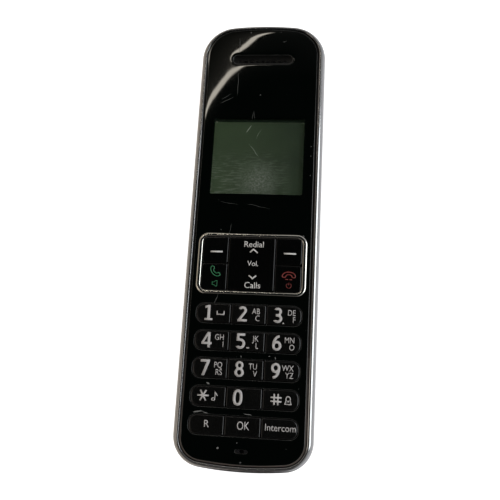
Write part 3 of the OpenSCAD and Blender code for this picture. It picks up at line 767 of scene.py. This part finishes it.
black_low, black_high = (0.0016, 0.0016, 0.0015), (0.0026, 0.0026, 0.0024)
key_plastic = moulded("key_plastic", black_low, black_high, 0.15, 0.05, 5000.0, 0.002, dusty=0.02)
black_low, black_high = (0.0005, 0.0006, 0.0006), (0.0010, 0.0011, 0.0010)
nav_plastic = moulded("nav_key_plastic", black_low, black_high, 0.12, 0.05, 6000.0, 0.001, dusty=0.012)

THIRD = (ROW_W - 2 * KEY_GAP) / 3
NUMBER_KEYS = [f"key_{k}" for k in range(1, 10)]
NUMBER_KEYS += ["key_star", "key_0", "key_hash", "recall_key", "menu_key", "intercom_key"]
PLACES = {}
for index, name in enumerate(NUMBER_KEYS):
    row, col = divmod(index, 3)
    y, h = ROWS[row]
    x = (col - 1) * (THIRD + KEY_GAP)
    PLACES[name] = col, x, y
    left, right = (ROW_R if col == 0 else 0.3), (ROW_R if col == 2 else 0.3)
    xs, ys = (x - THIRD / 2, x + THIRD / 2), (y - h / 2, y + h / 2)
    flange_x = xs[0] - (FLANGE_OUT if col == 0 else 0), xs[1] + (FLANGE_OUT if col == 2 else 0)
    flange = (*flange_x, ys[0] - FLANGE_OUT, ys[1] + FLANGE_OUT)
    parts = key_parts(*xs, *ys, left, right, flange, [(x, y)])
    add_piece("cap_" + name, parts, key_plastic, [name], name)

CORE_W = 16.4
CORNER_KEYS = ("soft_key_left", -1, 1), ("soft_key_right", 1, 1), ("talk_key", -1, -1), ("end_key", 1, -1)
for name, side, up in CORNER_KEYS:
    xs = sorted([side * (CORE_W + KEY_GAP) / 2, side * NAV_W / 2])
    ys = sorted([NAV_Y + up * KEY_GAP / 2, NAV_Y + up * NAV_H / 2])
    mid = (sum(xs) / 2, sum(ys) / 2)
    flange_x = sorted([mid[0], side * (NAV_W / 2 + FLANGE_OUT)])
    flange_y = sorted([ys[0] if up > 0 else ys[1], NAV_Y + up * (NAV_H / 2 + FLANGE_OUT)])
    left, right = (0.9, 0.3) if side < 0 else (0.3, 0.9)
    parts = key_parts(*xs, *ys, left, right, (*flange_x, *flange_y), [mid], 0.3, 0.03)
    add_piece("cap_" + name, parts, nav_plastic, [name], name)

# The rocker turns on a bar under its middle, and has a stem at each end.
core = CORE_W / 2 - KEY_GAP / 2
low_y, high_y = NAV_Y - NAV_H / 2 + 0.1, NAV_Y + NAV_H / 2 - 0.1
flange, stems = (-core, core, low_y - FLANGE_OUT, high_y + FLANGE_OUT), [(0, NAV_Y - 6), (0, NAV_Y + 6)]
parts = key_parts(-core, core, low_y, high_y, 0.3, 0.3, flange, stems, 0.3, 0.03, STEM_LOW + 0.1)
flange_points = parts[1][0]
flange_points[flange_points[:, 2] > FLANGE_LOW + 0.1, 2] = 20.3
pivot = arc(NAV_Y, 20.4, 0.8, 0, 2 * math.pi, 25)[:-1]
parts.append(skin([np.insert(pivot, 0, x, axis=1) for x in (-core + 0.5, core - 0.5)]))
add_piece("cap_nav_rocker", parts, nav_plastic, ["nav_rocker"], "nav_rocker")

# ----------------------------------------
# Key marks: screen-printed ink, a few hundredths of a millimetre thick, on each key's top. The dot under the
# 5 is a painted highlight in the same ink, standing for the lit top of a raised pip.
INK_UP, INK_T = 0.02, 0.06


def read_flat(data):
    """Points and triangles of a flat curve or text, which is then thrown away."""
    carrier = put("outline", data)
    mesh = settled(carrier)
    points = np.empty(len(mesh.vertices) * 3)
    mesh.vertices.foreach_get("co", points)
    faces = [list(p.vertices) for p in mesh.polygons]
    bpy.data.objects.remove(carrier)
    bpy.data.meshes.remove(mesh)
    return points.reshape(-1, 3), faces


def words(text, cap, x, y, narrow=1.0, align="CENTER"):
    """Printed words with capitals cap mm high, set about x with y half way up the capitals."""
    line = bpy.data.curves.new("words", "FONT")
    line.body, line.size, line.align_x, line.resolution_u = text, 1.0, align, 6
    points, faces = read_flat(line)
    scale = cap / 0.7
    points = points * [scale * narrow, scale, 1] + [x, y - cap / 2, 0]
    return points, faces


def filled(*loops):
    """Flat area inside the first loop and outside the others."""
    shape = bpy.data.curves.new("filled", "CURVE")
    shape.dimensions, shape.fill_mode = "2D", "BOTH"
    for loop in loops:
        spline = shape.splines.new("POLY")
        spline.points.add(len(loop) - 1)
        rows = np.column_stack([loop, np.zeros(len(loop)), np.ones(len(loop))])
        spline.points.foreach_set("co", rows.ravel())
        spline.use_cyclic_u = True
    return read_flat(shape)


def mitre(before, after, width):
    """Step from each point of a line to its right edge: half the width, along the mitre between the
    directions before and after the point."""
    first, second = (np.column_stack([-d[:, 1], d[:, 0]]) for d in (before, after))
    first /= np.linalg.norm(first, axis=1)[:, None]
    second /= np.linalg.norm(second, axis=1)[:, None]
    return (first + second) / (1 + (first * second).sum(1))[:, None] * width / 2


def stroke(path, width, x=0.0, y=0.0):
    """Flat line of constant width along an open path moved by x, y, with square ends."""
    path = np.array(path) + [x, y]
    along = np.diff(path, axis=0)
    side = mitre(np.vstack([along[:1], along]), np.vstack([along, along[-1:]]), width)
    return filled(np.vstack([path - side, (path + side)[::-1]]))


def loop_line(path, width):
    """Flat line of constant width round a closed path."""
    side = mitre(path - np.roll(path, 1, 0), np.roll(path, -1, 0) - path, width)
    return filled(path - side, path + side)


def bow(x, y, rx, ry, start, stop, count=13):
    """Points of an elliptical arc about x, y from start to stop, in degrees."""
    return arc(0, 0, 1, math.radians(start), math.radians(stop), count) * [rx, ry] + [x, y]


def ellipse(x, y, rx, ry, flat=1.0, count=28):
    """Points of an ellipse whose unit coordinates are raised to the power flat; under 1 it is squarer."""
    unit = bow(0, 0, 1, 1, 0, 360, count + 1)[:-1]
    return np.sign(unit) * np.abs(unit) ** flat * [rx, ry] + [x, y]


def turned(points, angle, x, y):
    """Points turned by angle degrees about the origin, then moved to x, y."""
    c, s = math.cos(math.radians(angle)), math.sin(math.radians(angle))
    return points @ np.array([[c, s], [-s, c]]) + [x, y]


def receiver_mark(size, line, angle, x, y):
    """Telephone receiver in outline: a long arch over a short one, joined by two round lobes."""
    path = [bow(0, -0.75, 2.3, 1.6, 8, 172), bow(-1.66, -0.7, 0.62, 0.42, 190, 350, 7)]
    path += [bow(0, -0.65, 1.03, 0.6, 168, 12, 9), bow(1.66, -0.7, 0.62, 0.42, 190, 350, 7)]
    return loop_line(turned(np.vstack(path) * size, angle, x, y), line)


def hash_mark(reach, step, half, x, y):
    """Number sign: bars at plus and minus step, half their width to each side, reach long each way."""
    a, b = step - half, step + half
    quarter = np.array([[reach, a], [reach, b], [b, b], [b, reach], [a, reach], [a, b], [-a, b]])
    bars = np.vstack([turned(quarter, 90 * k, 0, 0) for k in range(4)])
    square = a * np.array([[1, 1], [-1, 1], [-1, -1], [1, -1]])
    return filled(bars + [x, y], square + [x, y])


def star_mark(r, width, x, y):
    """Six-armed star: square arm ends, and a notch between neighbours at radius width."""
    a = np.radians(np.arange(6) * 60.0)
    d = np.column_stack([np.cos(a), np.sin(a)])
    n = np.column_stack([-d[:, 1], d[:, 0]]) * width / 2
    b = a + math.pi / 6
    notch = np.column_stack([np.cos(b), np.sin(b)]) * width
    rows = np.stack([d * r - n, d * r + n, notch], axis=1).reshape(-1, 2)
    return filled(rows + [x, y])


def print_on(key, ink, marks, slot="nav_key_plastic"):
    """Lays flat marks on a key's top as a thin closed layer of ink."""
    laid = [(laid_on(key_top, points[:, :2], INK_UP), faces) for points, faces in marks]
    piece = add_piece("marks_" + key, laid, ink, body=key, slot=slot)
    layer = piece.modifiers.new("ink", "SOLIDIFY")
    layer.thickness, layer.offset = INK_T * MM, -1


grey_ink = moulded("grey_ink", (0.30, 0.285, 0.28), (0.38, 0.365, 0.355), 0.5, depth=0.0)
white_ink = moulded("white_ink", (0.44, 0.43, 0.415), (0.53, 0.52, 0.50), 0.5, depth=0.0)
green_ink = moulded("green_ink", (0.008, 0.10, 0.038), (0.012, 0.13, 0.05), 0.5, depth=0.0)
red_ink = moulded("red_ink", (0.13, 0.014, 0.011), (0.17, 0.018, 0.014), 0.5, depth=0.0)

# Digits: each is one outline about the origin, 5.2 mm high with strokes near 0.9 mm, and its holes.
six = [bow(0.95, -0.95, 2.5, 3.55, 94, 180), bow(0, -0.95, 1.55, 1.65, 180, 464, 25)[1:]]
six = [np.vstack([*six, bow(0.95, -0.95, 1.62, 2.75, 145, 90)]), ellipse(0, -1.0, 0.68, 0.85)]
three = [bow(-0.1, 1.3, 1.4, 1.3, 148, -42), bow(-0.1, -1.1, 1.6, 1.5, 52, -152)]
three += [bow(-0.1, -1.1, 0.7, 0.68, -140, 68), [[-0.75, -0.42], [-0.75, 0.42]]]
three += [bow(-0.1, 1.12, 0.5, 0.7, -80, 130)]
two = [bow(0, 1.15, 1.45, 1.45, 155, -30), [[-0.35, -1.8], [1.6, -1.8], [1.6, -2.6], [-1.6, -2.6]]]
two += [[[-1.6, -2.0]], bow(0, 1.15, 0.58, 0.65, -30, 155)]
five = [[[-1.4, 2.6], [1.35, 2.6], [1.35, 1.8], [-0.55, 1.8]], bow(-0.2, -0.85, 1.7, 1.75, 102, -148)]
five += [bow(-0.2, -0.85, 0.8, 0.93, -138, 90), [[-1.5, 0.08]]]
eight = [bow(0, -1.15, 1.6, 1.45, 140, 400, 19), bow(0, 1.3, 1.35, 1.3, -48, 228, 19)]
one = [[-1.3, -2.6], [1.45, -2.6], [1.45, -1.9], [0.55, -1.9], [0.55, 2.6], [-0.2, 2.6]]
one += [[-1.35, 2.2], [-1.15, 1.5], [-0.4, 1.75], [-0.4, -1.9], [-1.3, -1.9]]
four = [[0.35, -2.6], [1.2, -2.6], [1.2, -1.5], [1.75, -1.5], [1.75, -0.75], [1.2, -0.75]]
four += [[1.2, 2.6], [0.2, 2.6], [-1.75, -0.8], [-1.75, -1.5], [0.35, -1.5]]
seven = [[-1.55, 2.6], [1.6, 2.6], [1.6, 2.0], [-0.05, -2.6], [-1.05, -2.6], [0.5, 1.8], [-1.55, 1.8]]
DIGITS = {
    "key_0": (ellipse(0, 0, 1.6, 2.6, 0.85), ellipse(0, 0, 0.7, 1.8, 0.85)),
    "key_1": (one,),
    "key_2": (np.vstack(two),),
    "key_3": (np.vstack(three),),
    "key_4": (four, [[0.35, -0.75], [-0.85, -0.75], [0.35, 1.4]]),
    "key_5": (np.vstack(five),),
    "key_6": six,
    "key_7": (seven,),
    "key_8": (np.vstack(eight), ellipse(0, -1.1, 0.72, 0.78), ellipse(0, 1.2, 0.55, 0.66)),
    "key_9": [-np.asarray(part) for part in six],
}
LETTERS = dict(zip(NUMBER_KEYS[1:], ("AB C", "DE F", "GH I", "JK L", "MN O", "PQ RS", "TU V", "WX YZ")))
LABELS = {
    "recall_key": ("R", 2.3, 0.1, 0.95),
    "menu_key": ("OK", 2.65, 0.2, 0.75),
    "intercom_key": ("Intercom", 2.15, 0.3, 0.9),
}
for name, (col, x, y) in PLACES.items():
    y = y + 0.05
    marks = []
    if name in DIGITS:
        place = [x - (1.65 if col == 0 else 2.05), y]
        marks.append(filled(*(np.asarray(part) + place for part in DIGITS[name])))
    if name in LETTERS:
        upper, lower = LETTERS[name].split()
        right = x + (4.3 if col == 0 else 3.9)
        marks.append(words(upper, 1.95, right, y + 1.05, 0.8, "RIGHT"))
        marks.append(words(lower, 1.95, right, y - 1.3, 0.8, "RIGHT"))
    if name in LABELS:
        label, cap, dx, narrow = LABELS[name]
        marks.append(words(label, cap, x + dx, y + 0.3, narrow))
    if name == "key_1":
        cup = [[-1.2, 0.7], [-1.2, -0.5], [1.2, -0.5], [1.2, 0.7]]
        marks.append(stroke(cup, 0.36, x + 2.5, y))
    # Painted highlight: a grey ink dot in place of the light caught by the raised pip.
    if name == "key_5":
        marks.append(filled(ellipse(x + 0.35, y - 2.1, 0.5, 0.26)))
    if name == "key_star":
        marks.append(star_mark(1.95, 0.5, x - 1.6, y + 0.1))
        note = [x + 1.9, y - 0.95]
        marks.append(filled(ellipse(*note, 0.68, 0.56), ellipse(*note, 0.36, 0.26)))
        marks.append(stroke([[0.55, 0.3], [0.55, 2.2], [1.4, 1.1]], 0.28, *note))
    if name == "key_hash":
        marks.append(hash_mark(1.8, 0.62, 0.24, x - 1.5, y + 0.05))
        lock = [x + 2.45, y - 0.1]
        arch = np.vstack([[[-1.05, -1.2], [1.05, -1.2]], bow(0, 0.4, 0.72, 0.9, -30, 210)])
        marks.append(loop_line(arch + lock, 0.3))
        marks.append(filled(ellipse(lock[0], lock[1] - 0.3, 0.26, 0.34, 1.0, 12)))
    print_on(name, grey_ink, marks, "key_plastic")

dash = [[-2.1, 0.0], [2.1, 0.0]]
for name, x in (("soft_key_left", -12.4), ("soft_key_right", 13.2)):
    print_on(name, white_ink, [stroke(dash, 0.55, x, -8.35)])

chevron = np.array([[-1.25, -0.55], [0.0, 0.55], [1.25, -0.55]])
rocker_marks = [
    words("Redial", 2.1, 0.6, -5.4, 0.97),
    stroke(chevron, 0.42, 0.57, -7.75),
    words("Vol.", 1.8, 0.58, -12.2, 0.95),
    stroke(chevron * [1, -1], 0.42, 0.65, -17.0),
    words("Calls", 2.1, 0.75, -19.8, 0.97),
]
print_on("nav_rocker", white_ink, rocker_marks)

horn = [[-1.05, -0.55], [-0.35, -0.55], [0.35, -1.1], [0.9, -1.1]]
horn += [[x, -y] for x, y in horn[::-1]]
talk_marks = [
    receiver_mark(0.95, 0.3, 133, -12.7, -15.6),
    loop_line(np.array(horn) * 0.85 + [-12.3, -19.6], 0.18),
]
print_on("talk_key", green_ink, talk_marks)

end_marks = [
    receiver_mark(1.0, 0.28, 0, 13.1, -15.6),
    stroke([[-1.15, 0.0], [-0.2, 0.0]], 0.3, 13.1, -17.35),
    stroke([[0.2, 0.0], [1.15, 0.0]], 0.3, 13.1, -17.35),
    stroke(bow(13.2, -19.5, 0.85, 0.85, 125, 415, 22), 0.18),
    stroke([[0.0, 0.2], [0.0, 1.05]], 0.18, 13.2, -19.5),
]
print_on("end_key", red_ink, end_marks)

# ----------------------------------------
# Everything inside keeps its CAD shape: the guide housing, rubber mat, snap domes, board with its
# parts, sound parts, cells with their contacts, screws and charging strips.


def sheet_metal(name, low, high, rough, scale=3000.0):
    """Bare or plated metal: two near colours in slow patches and gloss that follows them."""
    material, tree, shader = new_material(name)
    g = wire(tree, "Group", ("Scale", scale), node_tree=grain)
    gloss = calc(tree, "MULTIPLY_ADD", g["Height"], 0.25, rough)
    colour = blend(tree, g["Patch"], low, high)
    join(tree, shader, ("Base Color", colour), ("Roughness", gloss), ("Metallic", 1.0))
    return material


inner_plastic = moulded("inner_plastic", (0.006, 0.006, 0.007), (0.010, 0.010, 0.011), 0.45, specular=0.25)
foam = moulded("black_foam", (0.003, 0.003, 0.003), (0.006, 0.006, 0.006), 0.85, 0.06, 2500.0, 0.02, 0.1)
steel = sheet_metal("tinned_steel", (0.5, 0.5, 0.51), (0.66, 0.66, 0.67), 0.22)
spring = sheet_metal("spring_steel", (0.62, 0.62, 0.62), (0.78, 0.78, 0.78), 0.15)
gold = sheet_metal("plated_brass", (0.72, 0.5, 0.2), (0.85, 0.64, 0.3), 0.14)
finishes = {
    "front_housing": inner_plastic,
    "keypad_mat": moulded("grey_rubber", (0.24, 0.25, 0.26), (0.3, 0.31, 0.32), 0.6),
    "snap_domes": spring,
    "main_board": moulded("board_laminate", (0.01, 0.07, 0.03), (0.015, 0.1, 0.045), 0.3),
    "board_chips": moulded("chip_plastic", (0.012, 0.012, 0.013), (0.02, 0.02, 0.022), 0.5),
    "radio_shield": steel,
    "antenna": gold,
    "lcd_backlight": moulded("light_guide", (0.72, 0.72, 0.7), (0.8, 0.8, 0.78), 0.35),
    "lcd_ribbon": moulded("ribbon_film", (0.42, 0.17, 0.03), (0.5, 0.22, 0.05), 0.3),
    "receiver": moulded("sound_parts", (0.02, 0.02, 0.022), (0.035, 0.035, 0.038), 0.4),
    "battery_cell_left": moulded("cell_sleeve", (0.06, 0.22, 0.09), (0.08, 0.27, 0.12), 0.3),
    "cell_bridge_contact": spring,
    "cell_end_contacts": spring,
    "charge_contacts": gold,
    "case_screws": steel,
}
for name in ("display_gasket", "receiver_gasket", "loudspeaker_gasket", "microphone", "microphone_boot"):
    finishes[name] = foam
finishes["loudspeaker"] = finishes["receiver"]
finishes["battery_cell_right"] = finishes["battery_cell_left"]
for name, material in finishes.items():
    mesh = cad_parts[name].data
    for k in range(len(mesh.materials)):
        mesh.materials[k] = material

# ----------------------------------------
# Studio: a pale table in a room with an even white backdrop. Mirrored in the handset, the room is dim
# and darkest overhead, with a soft panel at the right, a faint one at the left, and one long tube lamp
# high beyond the earpiece end. A broad panel above gives light and no mirror image.
TABLE = 2000.0
table_plan = np.array([[-TABLE, -TABLE], [TABLE, -TABLE], [TABLE, TABLE], [-TABLE, TABLE]])
floor = put("table", make_mesh("table", [(at(table_plan, 0), [[0, 1, 2, 3]])]))
table, tree, shader = new_material("pale_table")
patch = patches(tree, 8.0)
plain = blend(tree, patch, (0.80, 0.80, 0.80), (0.84, 0.84, 0.84))
# Mirrored in gloss, the table is dark beyond the microphone end, as if a black card lay there.
spot = xyz(tree, here(tree))
lit = ramp(tree, spot["Y"], -0.087, -0.066)
card = blend(tree, ramp(tree, spot["X"], -0.04, 0.0), (0.68, 0.62, 0.55), (0.84, 0.85, 0.87))
beside = ramp(tree, calc(tree, "ABSOLUTE", spot["X"]), 0.016, 0.03)
dim = blend(tree, calc(tree, "MAXIMUM", lit, beside), (0.04, 0.035, 0.035), card)
mirrored = wire(tree, "LightPath")["Is Glossy Ray"]
join(
    tree,
    shader,
    ("Base Color", blend(tree, mirrored, plain, (0.0, 0.0, 0.0))),
    ("Emission Color", blend(tree, mirrored, (0.66, 0.66, 0.66), dim)),
    ("Roughness", 0.9),
    ("Specular IOR Level", 0.0),
    ("Emission Strength", 1.0),
)
floor.data.materials.append(table)

# The room: black overhead, dim at the height of a table lamp, dimmest beyond the microphone end.
room = bpy.data.worlds.new("room")
room.use_nodes = True
scene.world = room
tree = room.node_tree
way = xyz(tree, wire(tree, "TexCoord")["Generated"])
wall = blend(tree, ramp(tree, way["X"], -0.8, 0.8), (0.43, 0.38, 0.32), (0.50, 0.51, 0.53))
back, beside = ramp(tree, way["Y"], -0.9, -0.4), ramp(tree, calc(tree, "ABSOLUTE", way["X"]), 0.25, 0.6)
walls = blend(tree, calc(tree, "MAXIMUM", back, beside), (0.045, 0.038, 0.036), wall)
shade = blend(tree, ramp(tree, way["Z"], 0.55, 0.87), walls, (0.006, 0.008, 0.008))
backdrop = blend(tree, wire(tree, "LightPath")["Is Camera Ray"], shade, (0.86, 0.86, 0.86))
join(tree, tree.nodes["Background"], ("Color", backdrop))


def panel(name, place, size, power, colour=(1, 1, 1), in_gloss=True):
    """Soft rectangular lamp at place, facing the origin; lengths in metres, power in watts."""
    lamp = bpy.data.lights.new(name, "AREA")
    lamp.shape, lamp.size, lamp.size_y = "RECTANGLE", *size
    lamp.energy, lamp.color = power, colour
    holder = put(name, lamp)
    holder.location = place
    tilt, heading = math.atan2(math.hypot(*place[:2]), place[2]), math.atan2(place[0], -place[1])
    holder.rotation_euler = (tilt, 0.0, heading)
    holder.visible_glossy = holder.visible_transmission = in_gloss


panel("right_panel", (0.98, 0.10, 0.68), (0.95, 0.80), 8.2, (0.93, 0.97, 1.0))
panel("left_panel", (-0.76, -0.14, 0.92), (0.36, 0.42), 0.36, (1.0, 0.90, 0.79))
panel("top_panel", (-0.15, 0.05, 1.4), (1.2, 1.2), 13.0, (1.0, 0.99, 0.97), in_gloss=False)

# The tube lamp with its reflector, seen in the face as a curved streak with a soft outer glow.
LAMP_FAR, GLOW_FADE = 3000.0, 170.0
SLANT, SIDEWAYS, AHEAD = 0.6335, -0.31, 0.7509
along = np.array([1.0, SLANT]) / math.hypot(1, SLANT)
across = np.array([-along[1], along[0]])
middle = np.array([SIDEWAYS, AHEAD + SIDEWAYS * SLANT]) * LAMP_FAR
u, v = np.meshgrid([-900.0, 900.0], [-60.0, 700.0])
corners = middle + u.ravel()[:, None] * along + v.ravel()[:, None] * across
tube_mesh = make_mesh("tube_lamp", [(at(corners, LAMP_FAR), [[1, 0, 2, 3]])])
tube = put("tube_lamp", tube_mesh)
glow, tree, shader = new_material("tube_glow")
centred = vector(tree, "SUBTRACT", here(tree), (*(middle * MM), 0.0))
side = vector(tree, "DOT_PRODUCT", centred, (*across, 0.0))
reach = calc(tree, "ABSOLUTE", vector(tree, "DOT_PRODUCT", centred, (*along, 0.0)))
rim = ramp(tree, calc(tree, "ABSOLUTE", side), 0.033, 0.018)
tail = calc(tree, "EXPONENT", calc(tree, "DIVIDE", side, -GLOW_FADE * MM))
tail = chain(tree, "MULTIPLY", calc(tree, "GREATER_THAN", side, 0.0), tail, 0.33)
power = calc(tree, "MULTIPLY_ADD", rim, 9.3, tail)
join(
    tree,
    shader,
    ("Alpha", ramp(tree, reach, 0.9, 0.75)),
    ("Emission Color", vector(tree, "SCALE", (1.0, 0.93, 0.80), power)),
    ("Base Color", (0, 0, 0, 1)),
    ("Specular IOR Level", 0.0),
    ("Emission Strength", 1.0),
)
tube_mesh.materials.append(glow)
tube.visible_camera = tube.visible_shadow = False
